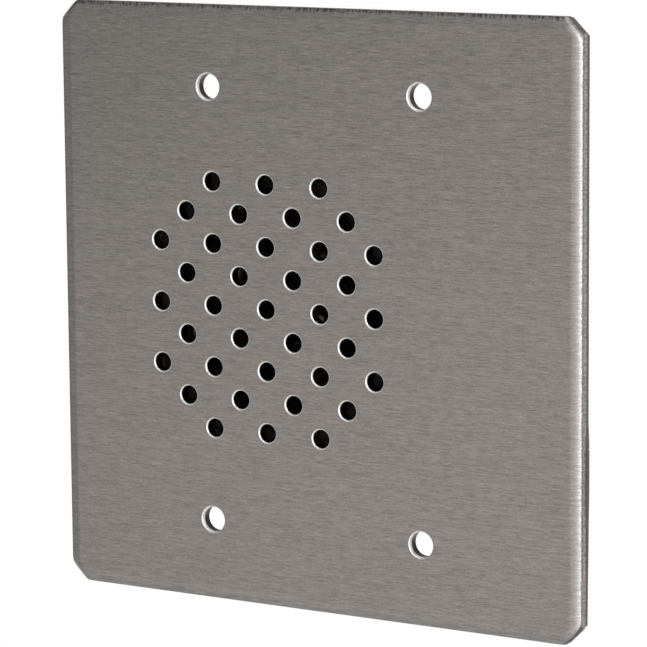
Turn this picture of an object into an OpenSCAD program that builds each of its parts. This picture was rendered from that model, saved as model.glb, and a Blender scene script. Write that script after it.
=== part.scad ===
// Hands-free intercom station for a two-gang wall box. A perforated steel plate carries a
// loudspeaker and an amplifier board on studs welded to its back, and foam tape seals its rim.
// +X is right seen from the front, +Y runs into the wall and +Z is up. The origin is the centre
// of the box screws on the back face of the plate. Depths count from that face. Millimetres.

/* [Face plate] */
// Width of the plate
plate_w = 113; // [110:0.1:130]
// Height of the plate
plate_h = 114.3; // [110:0.1:130]
// Distance of the plate's centre to the left of the box screws' centre
plate_offset = 0.3; // [0:0.05:1]
// Thickness of the plate
plate_t = 2.3; // [1.5:0.1:3]
// Length cut off each corner, along the edges
corner_cut = 3.2; // [2.5:0.1:6]
// Rounding of the outline at both ends of a cut
corner_round = 1.2; // [0.5:0.1:2]
// Width of the eased front edge along a cut
cut_ease_w = 0.5; // [0.2:0.1:1]
// Depth of the eased front edge along a cut
cut_ease_d = 0.25; // [0.1:0.05:0.5]
// Width of the rolled front edge
edge_roll_w = 2.4; // [1:0.1:3]
// Depth of the rolled front edge at the rim
edge_roll_d = 0.6; // [0.3:0.05:1]

/* [Box screws] */
// Spacing of the box screw holes across
screw_spacing_x = 46.04; // [40:0.01:60]
// Spacing of the box screw holes up and down
screw_spacing_z = 83.34; // [80:0.01:86]
// Diameter of a box screw hole
screw_hole_d = 4.9; // [4:0.1:6]

/* [Sound holes] */
// Diameter of a sound hole
sound_hole_d = 3.55; // [2:0.05:5]
// Distance between neighbouring holes of one row
sound_pitch = 11.86; // [10:0.02:14]
// Distance that the hole centres keep from the rim of the loudspeaker's opening
field_margin = 2.7; // [2:0.1:12]
// Rounding of the front rim of every hole
hole_ease = 0.35; // [0.1:0.05:0.5]

/* [Wall gasket] */
// Thickness of the foam tape
tape_t = 0.9; // [0.5:0.1:3]
// Width of the foam tape
tape_w = 7.5; // [4:0.5:8]
// Distance of the tape from the edge of the plate
tape_inset = 0.2; // [0.1:0.05:1]
// Distance that the tape's ring sits to the right of the plate's centre
tape_offset = 0.25; // [0:0.05:0.3]
// Height of the tape's butt joint on the right side
tape_joint_z = -21; // [-40:0.5:40]
// Gap left in the butt joint
tape_joint_gap = 0.4; // [0.2:0.1:1]
// Distance that the tape below the joint stands out further
tape_step = 0.2; // [0.1:0.05:0.3]

/* [Loudspeaker frame] */
// Distance of the loudspeaker's axis to the left of the box screws' centre
speaker_offset = 10.5; // [6:0.1:12]
// Side of the square flange
speaker_size = 66; // [65:0.5:70]
// Length cut off each corner of the flange
speaker_corner = 5; // [2:0.5:7]
// Distance of the flange's screw holes from its edges
stud_edge = 7; // [5.5:0.1:7.5]
// Width of the flange beside its opening, at the middle of a side
flange_rim = 3.3; // [2:0.1:4]
// Thickness of the frame's sheet
frame_t = 0.8; // [0.5:0.1:1.2]
// Depth of the frame from the flange's front to the floor's back
basket_depth = 12.5; // [12:0.5:18]
// Width of the seat that the surround is glued to
seat_w = 3.2; // [2.5:0.1:4]
// Number of windows in the frame's wall
window_count = 4; // [3:1:8]
// Angle between two windows
window_rib = 26; // [12:1:40]
// Thickness of the foam between the plate and the flange
foam_t = 2; // [1.6:0.1:4]

/* [Diaphragm] */
// Width of the surround's roll, between the frame's seat and the cone
surround_w = 2.5; // [2:0.1:3]
// Depth of the cone from its rim to its neck
cone_depth = 6.2; // [4:0.1:7]
// Distance that the cone's rim lies behind the frame's seat
surround_drop = 1; // [0.8:0.1:1.4]
// Thickness of the cone, the surround and the spider
skin_t = 0.4; // [0.3:0.05:0.5]
// Width of the lip where the surround is glued to the cone
lip_w = 1.4; // [1:0.1:2.5]
// Diameter of the dust cap
cap_d = 22.8; // [22:0.1:28]
// Height of the dust cap's dome
cap_h = 3.2; // [2:0.1:5]
// Diameter of the spider
spider_d = 36.8; // [34:0.2:40]
// Distance that the spider's middle lies behind its rim
spider_dish = 1; // [0.8:0.1:1.1]
// Number of waves in the spider
spider_waves = 4; // [2:1:6]
// Height of a wave above its middle
wave_h = 0.35; // [0.1:0.05:0.5]
// Length of the former past the winding
former_tail = 1.6; // [0.5:0.1:3]
// Length of the winding
winding_l = 5; // [3:0.5:6]

/* [Magnet] */
// Diameter of the pole
pole_d = 18.1; // [14:0.1:19]
// Thickness of the former's wall
former_t = 0.25; // [0.2:0.05:0.4]
// Thickness of the winding
winding_t = 0.4; // [0.3:0.05:0.6]
// Free gap on each side of the coil
coil_gap = 0.4; // [0.3:0.05:0.6]
// Diameter of the front plate
front_plate_d = 34; // [32:0.5:40]
// Thickness of the front plate
front_plate_t = 3; // [2:0.5:5]
// Diameter of the magnet
magnet_d = 40; // [34:0.5:50]
// Diameter of the magnet's bore
magnet_bore_d = 24; // [23:0.5:28]
// Thickness of the magnet
magnet_t = 8; // [6:0.5:12]
// Diameter of the yoke's back plate
yoke_d = 36; // [32:0.5:44]
// Thickness of the yoke's back plate
yoke_t = 3; // [2:0.5:5]

/* [Solder tags] */
// Width of the tag board
tag_board_w = 18; // [16:0.5:24]
// Depth of the tag board
tag_board_l = 8; // [6:0.5:9]
// Thickness of the tag board
tag_board_t = 1.2; // [0.8:0.1:2]
// Length of a solder tag
tag_l = 10.5; // [9:0.5:14]
// Width of a solder tag
tag_w = 3.2; // [3:0.1:4]
// Thickness of a solder tag
tag_t = 0.4; // [0.3:0.1:0.6]
// Diameter of the rivets' shanks
rivet_d = 1.6; // [1:0.1:2]

/* [Fasteners] */
// Diameter of the studs and the board screws
thread_d = 3; // [2.5:0.5:3]
// Diameter of a stud's welded base
stud_base_d = 4.6; // [4:0.1:5]
// Thickness of a stud's welded base
stud_base_t = 0.7; // [0.4:0.1:1]
// Width across the flats of the nuts and the standoffs
hex_af = 5.5; // [5:0.5:6]
// Thickness of a nut
nut_t = 2.4; // [1.8:0.1:3]
// Thickness of a lock washer
washer_t = 0.7; // [0.5:0.1:1]
// Length of a standoff
standoff_l = 7.3; // [6:0.1:10]
// Diameter of a board screw's head
screw_head_d = 5.4; // [5:0.1:5.6]
// Height of a board screw's head
screw_head_h = 1.9; // [1.2:0.1:2.5]

/* [Circuit board] */
// Height of the board
board_h = 68; // [66:0.5:76]
// Thickness of the board
board_t = 1.6; // [1:0.1:2.4]
// Free space between the loudspeaker and the board
board_gap = 2.4; // [1.5:0.1:4]
// Distance of the board's edges from the terminal block's ends
board_margin = 0.25; // [0.2:0.05:1]

/* [Terminal block] */
// Distance between two terminals
pole_pitch = 5; // [5:0.08:5.08]
// Height of the block above the board
block_h = 10; // [9.5:0.5:14]
// Depth of the block from the wire entries to its back
block_l = 8; // [7.5:0.5:10]
// Width of a wire entry
entry_w = 3.8; // [3:0.1:4]
// Height of a wire entry
entry_h = 5.4; // [5:0.1:6]
// Wall of a terminal's cage
cage_wall = 0.5; // [0.3:0.1:0.6]
// Diameter of a terminal screw's thread
clamp_d = 2.2; // [1.6:0.1:2.4]

/* [Volume trimmer] */
// Side of the trimmer's body
trimmer_w = 7.6; // [6.6:0.1:7.8]
// Height of the trimmer's body
trimmer_h = 4.6; // [4:0.1:6]
// Diameter of the rotor
rotor_d = 4.9; // [4:0.1:5.4]
// Thickness of the rotor's disc
rotor_t = 1.3; // [1:0.1:1.6]
// Diameter of the rotor's pivot
pivot_d = 1.8; // [1.2:0.1:2.4]

/* [Board components] */
// Length of the amplifier chip
chip_l = 9.3; // [8:0.1:10]
// Width of the amplifier chip's body
chip_w = 6.4; // [5.5:0.1:6.6]
// Thickness of the amplifier chip's body
chip_t = 3.3; // [2.5:0.1:4]
// Diameter of the large capacitor
big_can_d = 8; // [6:0.1:8.4]
// Height of the large capacitor
big_can_h = 11.5; // [8:0.5:12]
// Diameter of the small capacitors
small_can_d = 6.3; // [5:0.1:6.6]
// Height of the small capacitors
small_can_h = 8; // [5:0.5:11]
// Length of a film capacitor
film_l = 7.2; // [6:0.1:8]
// Thickness of a film capacitor
film_t = 2.6; // [2:0.1:2.8]
// Height of a film capacitor
film_h = 6.5; // [4:0.5:8]
// Length of a resistor's body
resistor_l = 6.3; // [5:0.1:6.8]
// Diameter of a resistor's ends
resistor_d = 2.4; // [1.6:0.1:2.6]
// Diameter of the component leads
lead_d = 0.6; // [0.5:0.05:0.7]
// Width of the loudspeaker's header
header_w = 7.4; // [6:0.1:7.8]
// Depth of the header's base
header_l = 5.8; // [5:0.1:6.4]
// Height of the header's base
header_h = 3.2; // [2.5:0.1:4]

/* [Hidden] */
$fn = 64;

// Clearances
glue_gap = 0.05;
thread_gap = 0.05;
hole_gap = 0.3;
fit_gap = 0.2;
pivot_gap = 0.05;
cut_over = 1;

// Flats that round one end of a cut corner
round_steps = 6;

// Points of the plate's patterns, as [x, z]
screw_points = corners(screw_spacing_x, screw_spacing_z, 0);
speaker_x = -speaker_offset;
cone_open_r = speaker_size / 2 - flange_rim;
sound_field_r = cone_open_r - field_margin;
half_pitch = sound_pitch / 2;
field_steps = floor(sound_field_r / half_pitch);
sound_points = [
    for (row = [-field_steps : field_steps])
        for (column = [-field_steps : field_steps])
            if ((row + column) % 2 == 0 && norm([row, column]) * half_pitch <= sound_field_r)
                [speaker_x + column * half_pitch, row * half_pitch]
];

// Depths and radii of the loudspeaker's frame
seat_r = cone_open_r - seat_w;
flange_y = foam_t;
seat_y = flange_y + frame_t;
floor_y = flange_y + basket_depth;
ledge_drop = 1.7;
ledge_y = floor_y - frame_t - ledge_drop;
ledge_w = 2.6;
ledge_r_out = spider_d / 2 + fit_gap;
ledge_r_in = ledge_r_out - ledge_w;
wall_slope = (seat_r - ledge_r_out) / (ledge_y - seat_y);
wall_run = frame_t * norm([wall_slope, 1]);
window_front = 1.8;
window_back = 0.9;
stake_d = 2;
stake_head = 0.25;
stake_count = 4;

// Depths and radii of the diaphragm and the magnet
former_r = pole_d / 2 + coil_gap;
winding_r = former_r + former_t + glue_gap;
gap_r = winding_r + winding_t + coil_gap;
floor_hole_r = gap_r + fit_gap + coil_gap;
stake_r = (floor_hole_r + ledge_r_in) / 2;
cone_r = seat_r - surround_w;
lip_r = cone_r - lip_w;
neck_r = winding_r;
rim_y = seat_y + surround_drop;
neck_y = rim_y + cone_depth;
collar_y = ledge_y - skin_t + spider_dish;
neck_end = collar_y - 2 * fit_gap;
cone_slope = cone_depth / (lip_r - neck_r);
cone_skin = skin_t * norm([cone_slope, 1]);
cap_r = cap_d / 2;
cap_y = cone_front(cap_r) - glue_gap;
cap_ball_r = (cap_r * cap_r + cap_h * cap_h) / (2 * cap_h);
winding_y = floor_y + front_plate_t / 2 - winding_l / 2;
former_y = neck_y + fit_gap;
magnet_y = floor_y + front_plate_t;
yoke_y = magnet_y + magnet_t;
edge_break = 0.5;

// Lug bent back from the flange, and the tags that it carries
lug_w = 6.4;
lug_l = 9.6;
lug_z = speaker_size / 2;
tag_setback = 6;
tag_y = flange_y + tag_setback;
tag_edge = 0.9;
tag_side = tag_board_w / 2 - tag_w / 2 - tag_edge;
rivet_flare = 0.7;
rivet_head_d = rivet_d + 2 * rivet_flare;
rivet_head_t = 0.5;

// Studs, as [x, z]
speaker_spacing = speaker_size - 2 * stud_edge;
speaker_studs = corners(speaker_spacing, speaker_spacing, speaker_x);
nut_y = seat_y + washer_t;
stud_past_nut = 1.4;
speaker_stud_l = nut_y + nut_t + stud_past_nut;
board_stud_l = stud_base_t + standoff_l / 2;
stud_hole_d = thread_d + 2 * hole_gap;

// Circuit board, as wide as its four line terminals
pole_count = 4;
block_w = pole_count * pole_pitch;
board_w = block_w + 2 * board_margin;
board_x = speaker_x + speaker_size / 2 + board_gap + board_w / 2;
board_y = stud_base_t + standoff_l;
board_rear = board_y + board_t;
board_foot = -board_h / 2;
screw_edge = 3.2;
screw_head_gap = 1.5;
low_screw_z = board_foot + block_l + screw_head_gap + screw_head_d / 2;
high_screw_z = board_h / 2 - screw_edge;
screw_x = board_w / 2 - screw_edge;
board_studs = [
    for (side = [-1, 1])
        for (z = [low_screw_z, high_screw_z])
            [board_x + side * screw_x, z]
];
screw_l = board_t + standoff_l / 3;
lead_hole_d = lead_d + 2 * fit_gap;
lead_stub = 1.2;

// Places of the components on the board, as [x, z] from the board's centre
column_edge = 2.2;
side_column = board_w / 2 - column_edge;
block_z = board_foot + block_l / 2;
trimmer_rise = 1.2;
trimmer_at = [0, low_screw_z + trimmer_rise];
chip_at = [0, -3.5];
big_can_at = [-5, 11];
small_cans_at = [[5.4, 8.2], [5.4, 16.4]];
films_at = [[-5, 18.6], [-5, 23]];
resistor_rows = [-10.2, 0.4];
resistors_at = [
    for (side = [-1, 1])
        for (z = resistor_rows)
            [side * side_column, z]
];
header_drop = 0.4;
header_at = [0, high_screw_z - header_drop];

// Leads
lead_reach = 1.7;
resistor_span = resistor_l + 2 * lead_reach;
can_span = 2.5;
film_span = 5;
trimmer_span = 5;
chip_pitch = 2.54;
chip_row = 7.62;
chip_stand = 0.5;
chip_pins_side = 4;
pin_w = 0.5;
pin_t = 0.3;
pin_shoulder = 1.4;
header_pitch = 2.5;
header_pin_w = 0.64;
straight_leads = concat(
    [for (i = [0 : pole_count - 1]) [pole_x(i), block_z]],
    [for (side = [-1, 0, 1]) trimmer_at + trimmer_span / 2 * [side, side == 0 ? 1 : -1]],
    [for (can = concat([big_can_at], small_cans_at), side = [-1, 1]) can + [side * can_span / 2, 0]],
    [for (film = films_at, side = [-1, 1]) film + [side * film_span / 2, 0]]
);
resistor_leads = [for (r = resistors_at, side = [-1, 1]) r + [0, side * resistor_span / 2]];
header_pins_at = [for (side = [-1, 1]) header_at + [side * header_pitch / 2, 0]];
chip_pins_at = [
    for (side = [-1, 1])
        for (i = [0 : chip_pins_side - 1])
            chip_at + [side * chip_row / 2, (i - (chip_pins_side - 1) / 2) * chip_pitch]
];

// Terminals
entry_floor = 1.2;
entry_back = 1.4;
entry_l = block_l - entry_back;
cage_gap = 0.15;
cage_w = entry_w - 2 * cage_gap;
cage_h = entry_h - 2 * cage_gap;
cage_setback = 0.5;
cage_l = entry_l - 2 * cage_setback;
cage_bar = 1;
clamp_roof = 0.6;
clamp_head_y = entry_floor + entry_h + clamp_roof;
clamp_head_d = entry_w - 2 * fit_gap;
clamp_head_h = 1.4;
clamp_z = -block_l / 2 + entry_l / 2;
block_shoulder = 2;
slot_w = 0.7;
slot_h = 0.6;

// Trimmer
rotor_gap = 0.3;
rotor_lift = 0.15;
pivot_l = 1.4;
rotor_proud = 0.2;
rotor_top = trimmer_h + rotor_proud;
rotor_under = rotor_top - rotor_t;

// Four points round [x, 0], w apart across and h apart up and down
function corners(w, h, x) = [for (i = [-1, 1]) for (k = [-1, 1]) [x + i * w / 2, k * h / 2]];

// Radius of an arc that leaves a face level and falls by d over width w
function fall_r(w, d) = (w * w + d * d) / (2 * d);

// Depth of the cone's front face at radius r
function cone_front(r) = rim_y + (lip_r - r) * cone_slope;

// Radius of the inside of the frame's wall at depth y
function wall_r(y) = seat_r - (y - seat_y) * wall_slope;

// Place of terminal i across the board
function pole_x(i) = (i - (pole_count - 1) / 2) * pole_pitch;

// Extrudes a drawing in x and z from depth y over thickness t
module sheet(y, t) {
    translate([0, y + t, 0])
        rotate([90, 0, 0])
            linear_extrude(t)
                children();
}

// Revolves a drawing in radius and depth round an axis along Y
module turned() {
    rotate([-90, 0, 0])
        rotate_extrude()
            children();
}

// Round bar along Y from depth y
module rod(d, y, l) {
    translate([0, y, 0])
        rotate([-90, 0, 0])
            cylinder(d = d, h = l);
}

// Hexagonal bar along Y from depth y
module hex_rod(af, y, l) {
    sheet(y, l)
        circle(d = af / cos(30), $fn = 6);
}

// Box centred in x and z from depth y
module block(w, h, y, l) {
    translate([-w / 2, y, -h / 2])
        cube([w, l, h]);
}

// Puts a copy at each [x, z]
module at_each(points) {
    for (p = points)
        translate([p[0], 0, p[1]])
            children();
}

// Puts the loudspeaker's pieces on its axis
module on_speaker() {
    translate([speaker_x, 0, 0])
        children();
}

// Puts a component's foot on the rear of the board, a copy at each [x, z]
module on_board(points) {
    translate([board_x, board_rear, 0])
        at_each(points)
            children();
}

// Rectangle with its corners cut off at 45 degrees
module cut_square(w, h, cut) {
    diagonal = (w + h - 2 * cut) / sqrt(2);
    intersection() {
        square([w, h], center = true);
        rotate(45)
            square(diagonal, center = true);
    }
}

// Rectangle with its corners cut off at 45 degrees and the ends of the cuts rounded
module rounded_cut(w, h, cut, r) {
    inner_cut = cut - r * (2 - sqrt(2));
    far = [w, h] / 2 - [r, r];
    near = far - [inner_cut, inner_cut];
    centres = [
        [far.x, near.y], [near.x, far.y], [-near.x, far.y], [-far.x, near.y],
        [-far.x, -near.y], [-near.x, -far.y], [near.x, -far.y], [far.x, -near.y]
    ];
    polygon([
        for (i = [0 : len(centres) - 1])
            for (step = [0 : round_steps])
                let (turn = 45 * (i + step / round_steps))
                    centres[i] + r * [cos(turn), sin(turn)]
    ]);
}

// Bar along Z, a little over width w, whose front falls away to both edges of that width
module rolled_bar(w, l, roll_w, roll_d) {
    roll_r = fall_r(roll_w, roll_d);
    linear_extrude(l, center = true)
        difference() {
            translate([-(w + cut_over) / 2, -plate_t])
                square([w + cut_over, plate_t]);
            for (side = [0, 1])
                mirror([side, 0])
                    translate([w / 2 - roll_w, -plate_t])
                        difference() {
                            translate([0, -cut_over])
                                square([roll_w + cut_over, roll_d + cut_over]);
                            translate([0, roll_r])
                                circle(roll_r);
                        }
        }
}

// Cutter for a hole through the plate, with a rounded front rim
module eased_hole(d) {
    rim = d / 2 + hole_ease;
    translate([0, -plate_t, 0])
        turned() {
            translate([0, -cut_over])
                square([d / 2, plate_t + 2 * cut_over]);
            difference() {
                translate([0, -cut_over])
                    square([rim, hole_ease + cut_over]);
                translate([rim, hole_ease])
                    circle(hole_ease);
            }
        }
}

// Punched stainless plate with rolled edges and cut corners
module face_plate() {
    length = plate_w + plate_h;
    diagonal = (plate_w + plate_h - 2 * corner_cut) / sqrt(2);
    color("#8c8984")
        difference() {
            translate([-plate_offset, 0, 0])
                intersection() {
                    sheet(-plate_t - cut_over, plate_t + 2 * cut_over)
                        rounded_cut(plate_w, plate_h, corner_cut, corner_round);
                    rolled_bar(plate_w, length, edge_roll_w, edge_roll_d);
                    rotate([0, 90, 0])
                        rolled_bar(plate_h, length, edge_roll_w, edge_roll_d);
                    rotate([0, 45, 0])
                        rolled_bar(diagonal, length, cut_ease_w, cut_ease_d);
                    rotate([0, -45, 0])
                        rolled_bar(diagonal, length, cut_ease_w, cut_ease_d);
                }
            at_each(screw_points)
                eased_hole(screw_hole_d);
            at_each(sound_points)
                eased_hole(sound_hole_d);
        }
}

// Foam tape round the plate's back, cut once on the right side
module wall_gasket() {
    w = plate_w - 2 * tape_inset;
    h = plate_h - 2 * tape_inset;
    straight_end = corner_cut - h / 2;
    color("#2b2a29")
        translate([tape_offset - plate_offset, 0, 0])
            sheet(0, tape_t)
                difference() {
                    union() {
                        cut_square(w, h, corner_cut);
                        translate([w / 2 - tape_w, straight_end])
                            square([tape_w + tape_step, tape_joint_z - straight_end]);
                    }
                    cut_square(w - 2 * tape_w, h - 2 * tape_w, corner_cut);
                    translate([w / 2 - tape_w - cut_over, tape_joint_z])
                        square([tape_w + tape_step + 2 * cut_over, tape_joint_gap]);
                }
}

// Studs welded to the plate's back
module weld_studs() {
    color("#b9b5ae") {
        at_each(speaker_studs)
            rod(thread_d, 0, speaker_stud_l);
        at_each(board_studs)
            rod(thread_d, 0, board_stud_l);
        at_each(concat(speaker_studs, board_studs))
            rod(stud_base_d, 0, stud_base_t);
    }
}

// Foam ring between the plate and the loudspeaker
module speaker_gasket() {
    color("#3a3a3a")
        sheet(0, foam_t)
            difference() {
                translate([speaker_x, 0])
                    cut_square(speaker_size, speaker_size, speaker_corner);
                translate([speaker_x, 0])
                    circle(cone_open_r - seat_w / 2);
                for (p = speaker_studs)
                    translate(p)
                        circle(d = stud_base_d + 2 * hole_gap);
            }
}

// Sectors cut out of the frame's wall
module frame_windows() {
    step = 360 / window_count;
    front = seat_y + frame_t + window_front;
    back = ledge_y - window_back;
    rotate([-90, 0, 0])
        for (i = [0 : window_count - 1])
            rotate([0, 0, i * step - (step - window_rib) / 2])
                rotate_extrude(angle = step - window_rib)
                    translate([ledge_r_in, front])
                        square([cone_open_r - ledge_r_in, back - front]);
}

// Places of the stakes that hold the magnet to the frame, as [x, z]
function stake_points() = [
    for (i = [0 : stake_count - 1])
        stake_r * [cos((i + 0.5) * 360 / stake_count), sin((i + 0.5) * 360 / stake_count)]
];

// Bar along Z from height z
module upright(d, x, z, l) {
    translate([x, tag_y, z])
        cylinder(d = d, h = l);
}

// Stamped frame: square flange, stepped seat, windowed wall, spider ledge and floor
module speaker_frame() {
    profile = [
        [cone_open_r, flange_y],
        [cone_open_r, seat_y],
        [seat_r, seat_y],
        [ledge_r_out, ledge_y],
        [ledge_r_in, ledge_y],
        [ledge_r_in, floor_y - frame_t],
        [floor_hole_r, floor_y - frame_t],
        [floor_hole_r, floor_y],
        [ledge_r_in + frame_t, floor_y],
        [ledge_r_in + frame_t, ledge_y + frame_t],
        [wall_r(ledge_y + frame_t) + wall_run, ledge_y + frame_t],
        [wall_r(seat_y + frame_t) + wall_run, seat_y + frame_t],
        [cone_open_r + frame_t, seat_y + frame_t],
        [cone_open_r + frame_t, flange_y]
    ];
    color("#a7a8a6")
        on_speaker()
            difference() {
                union() {
                    turned()
                        polygon(profile);
                    sheet(flange_y, frame_t)
                        difference() {
                            cut_square(speaker_size, speaker_size, speaker_corner);
                            circle(cone_open_r + frame_t / 2);
                        }
                    translate([-lug_w / 2, flange_y, lug_z - frame_t])
                        cube([lug_w, lug_l, frame_t]);
                }
                frame_windows();
                at_each(corners(speaker_spacing, speaker_spacing, 0))
                    rod(stud_hole_d, 0, seat_y + cut_over);
                at_each(stake_points())
                    rod(stake_d + 2 * glue_gap, ledge_y, floor_y - ledge_y + cut_over);
                upright(rivet_d + 2 * glue_gap, 0, lug_z - frame_t - cut_over, frame_t + 2 * cut_over);
            }
}

// Half roll of treated cloth between the frame's seat and the cone's rim, longer on the inside
module cone_surround() {
    roll_r = surround_w / 2;
    roll_mid = cone_r + roll_r;
    roll_y = seat_y - skin_t;
    rim_r = cone_open_r - hole_gap;
    color("#1c1c1d")
        on_speaker()
            turned() {
                translate([lip_r, rim_y - skin_t])
                    square([lip_w + skin_t, skin_t]);
                translate([cone_r, roll_y])
                    square([skin_t, rim_y - roll_y]);
                translate([seat_r - skin_t, flange_y])
                    square([rim_r - seat_r + skin_t, frame_t]);
                translate([roll_mid, roll_y])
                    difference() {
                        circle(roll_r);
                        circle(roll_r - skin_t);
                        translate([-2 * roll_r, 0])
                            square([4 * roll_r, 2 * roll_r]);
                    }
            }
}

// Mylar cone with a flat rim and a neck round the former
module cone() {
    color("#161618")
        on_speaker()
            turned()
                polygon([
                    [cone_r, rim_y],
                    [lip_r, rim_y],
                    [neck_r, neck_y],
                    [neck_r, neck_end],
                    [neck_r + skin_t, neck_end],
                    [neck_r + skin_t, cone_front(neck_r + skin_t) + cone_skin],
                    [lip_r + (cone_skin - skin_t) / cone_slope, rim_y + skin_t],
                    [cone_r, rim_y + skin_t]
                ]);
}

// Domed cap over the coil
module dust_cap() {
    color("#1e1d1f")
        on_speaker()
            turned()
                intersection() {
                    translate([0, cap_y - cap_h + cap_ball_r])
                        difference() {
                            circle(cap_ball_r);
                            circle(cap_ball_r - skin_t);
                        }
                    translate([0, cap_y - cap_h - cut_over])
                        square([cap_r + cut_over, cap_h + cut_over]);
                }
}

// Tube along the loudspeaker's axis
module tube(r, t, y, l) {
    on_speaker()
        turned()
            translate([r, y])
                square([t, l]);
}

// Paper tube that carries the winding
module coil_former() {
    color("#b98a5a")
        tube(former_r, former_t, former_y, winding_y + winding_l + former_tail - former_y);
}

// Copper winding in the magnet's gap
module voice_coil() {
    color("#b4622f")
        tube(winding_r, winding_t, winding_y, winding_l);
}

// Dished and corrugated disc that centres the coil
module spider() {
    flat = ledge_w - fit_gap;
    r_in = winding_r + 2 * skin_t;
    r_out = spider_d / 2 - flat;
    points_per_wave = 8;
    steps = spider_waves * points_per_wave;
    wave = [
        for (i = [0 : steps])
            let (share = i / steps)
            [
                r_in + (r_out - r_in) * share,
                collar_y - spider_dish * share + wave_h * sin(360 * spider_waves * share)
            ]
    ];
    front = concat([[winding_r, collar_y]], wave, [[spider_d / 2, collar_y - spider_dish]]);
    back = [for (i = [len(front) - 1 : -1 : 0]) front[i] + [0, skin_t]];
    color("#c08a3e")
        on_speaker()
            turned()
                polygon(concat(front, back));
}

// Steel washer round the coil, staked to the frame
module magnet_front_plate() {
    color("#9a9b99")
        on_speaker() {
            turned()
                translate([gap_r, floor_y])
                    square([front_plate_d / 2 - gap_r, front_plate_t]);
            at_each(stake_points()) {
                rod(stake_d, floor_y - frame_t, frame_t + front_plate_t / 2);
                rod(stake_d + 2 * fit_gap, floor_y - frame_t - stake_head, stake_head);
            }
        }
}

// Ring between radii r_in and r_out with broken edges
module broken_ring(r_in, r_out, y, t) {
    turned()
        polygon([
            [r_in, y],
            [r_out - edge_break, y],
            [r_out, y + edge_break],
            [r_out, y + t - edge_break],
            [r_out - edge_break, y + t],
            [r_in, y + t]
        ]);
}

// Ferrite ring
module magnet() {
    color("#3b3a3c")
        on_speaker()
            broken_ring(magnet_bore_d / 2, magnet_d / 2, magnet_y, magnet_t);
}

// Back plate with the pole inside the coil
module yoke() {
    color("#a3a4a2")
        on_speaker() {
            broken_ring(0, yoke_d / 2, yoke_y, yoke_t);
            rod(pole_d, floor_y, yoke_y + yoke_t / 2 - floor_y);
        }
}

// Strip that keeps the solder tags off the frame
module tag_board() {
    color("#7a4b25")
        on_speaker()
            difference() {
                translate([-tag_board_w / 2, tag_y - tag_board_l / 2, lug_z])
                    cube([tag_board_w, tag_board_l, tag_board_t]);
                for (x = [-tag_side, 0, tag_side])
                    upright(rivet_d + 2 * glue_gap, x, lug_z - cut_over, tag_board_t + 2 * cut_over);
            }
}

// Pierced tags that the leads are soldered to
module solder_tags() {
    eye_d = tag_w / 2;
    root = tag_w / 2;
    color("#c9c3b4")
        on_speaker()
            for (x = [-tag_side, tag_side])
                difference() {
                    translate([x - tag_w / 2, tag_y - root, lug_z + tag_board_t])
                        cube([tag_w, tag_l, tag_t]);
                    translate([0, tag_l - root - eye_d, 0])
                        upright(eye_d, x, lug_z, tag_board_t + tag_t + cut_over);
                    upright(rivet_d + 2 * glue_gap, x, lug_z, tag_board_t + tag_t + cut_over);
                }
}

// Rivet along Z through the stack from z over l
module rivet(x, z, l) {
    upright(rivet_d, x, z - rivet_head_t / 2, l + rivet_head_t);
    upright(rivet_head_d, x, z - rivet_head_t, rivet_head_t);
    upright(rivet_head_d, x, z + l, rivet_head_t);
}

// Rivets of the tag board and of its tags
module tag_rivets() {
    color("#c7c5bf")
        on_speaker() {
            rivet(0, lug_z - frame_t, frame_t + tag_board_t);
            for (x = [-tag_side, tag_side])
                rivet(x, lug_z, tag_board_t + tag_t);
        }
}

// Split washers under the nuts
module lock_washers() {
    color("#bdbbb5")
        at_each(speaker_studs)
            sheet(seat_y, washer_t)
                difference() {
                    circle(d = hex_af);
                    circle(d = thread_d + 2 * fit_gap);
                    translate([0, -washer_t / 2])
                        square([hex_af, washer_t]);
                }
}

// Nuts that hold the loudspeaker
module speaker_nuts() {
    color("#c4c2bc")
        at_each(speaker_studs)
            difference() {
                hex_rod(hex_af, nut_y, nut_t);
                rod(thread_d + 2 * thread_gap, nut_y - cut_over, nut_t + 2 * cut_over);
            }
}

// Threaded standoffs on the board's studs
module hex_standoffs() {
    color("#c9a65c")
        at_each(board_studs)
            difference() {
                hex_rod(hex_af, stud_base_t, standoff_l);
                rod(thread_d + 2 * thread_gap, 0, stud_base_t + standoff_l + cut_over);
            }
}

// Amplifier board, drilled for its screws and leads
module circuit_board() {
    drilled = concat(straight_leads, resistor_leads, chip_pins_at, header_pins_at);
    color("#2c5a3c")
        difference() {
            translate([board_x, 0, 0])
                block(board_w, board_h, board_y, board_t);
            at_each(board_studs)
                rod(stud_hole_d, board_y - cut_over, board_t + 2 * cut_over);
            translate([board_x, 0, 0])
                at_each(drilled)
                    rod(lead_hole_d, board_y - cut_over, board_t + 2 * cut_over);
        }
}

// Pan head screws with a slot
module board_screws() {
    slot_y = board_rear + screw_head_h - slot_h;
    color("#c8c6c0")
        at_each(board_studs)
            difference() {
                union() {
                    rod(thread_d, board_rear - screw_l, screw_l + screw_head_h / 2);
                    rod(screw_head_d, board_rear, screw_head_h);
                }
                block(screw_head_d + cut_over, slot_w, slot_y, slot_h + cut_over);
            }
}

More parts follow.
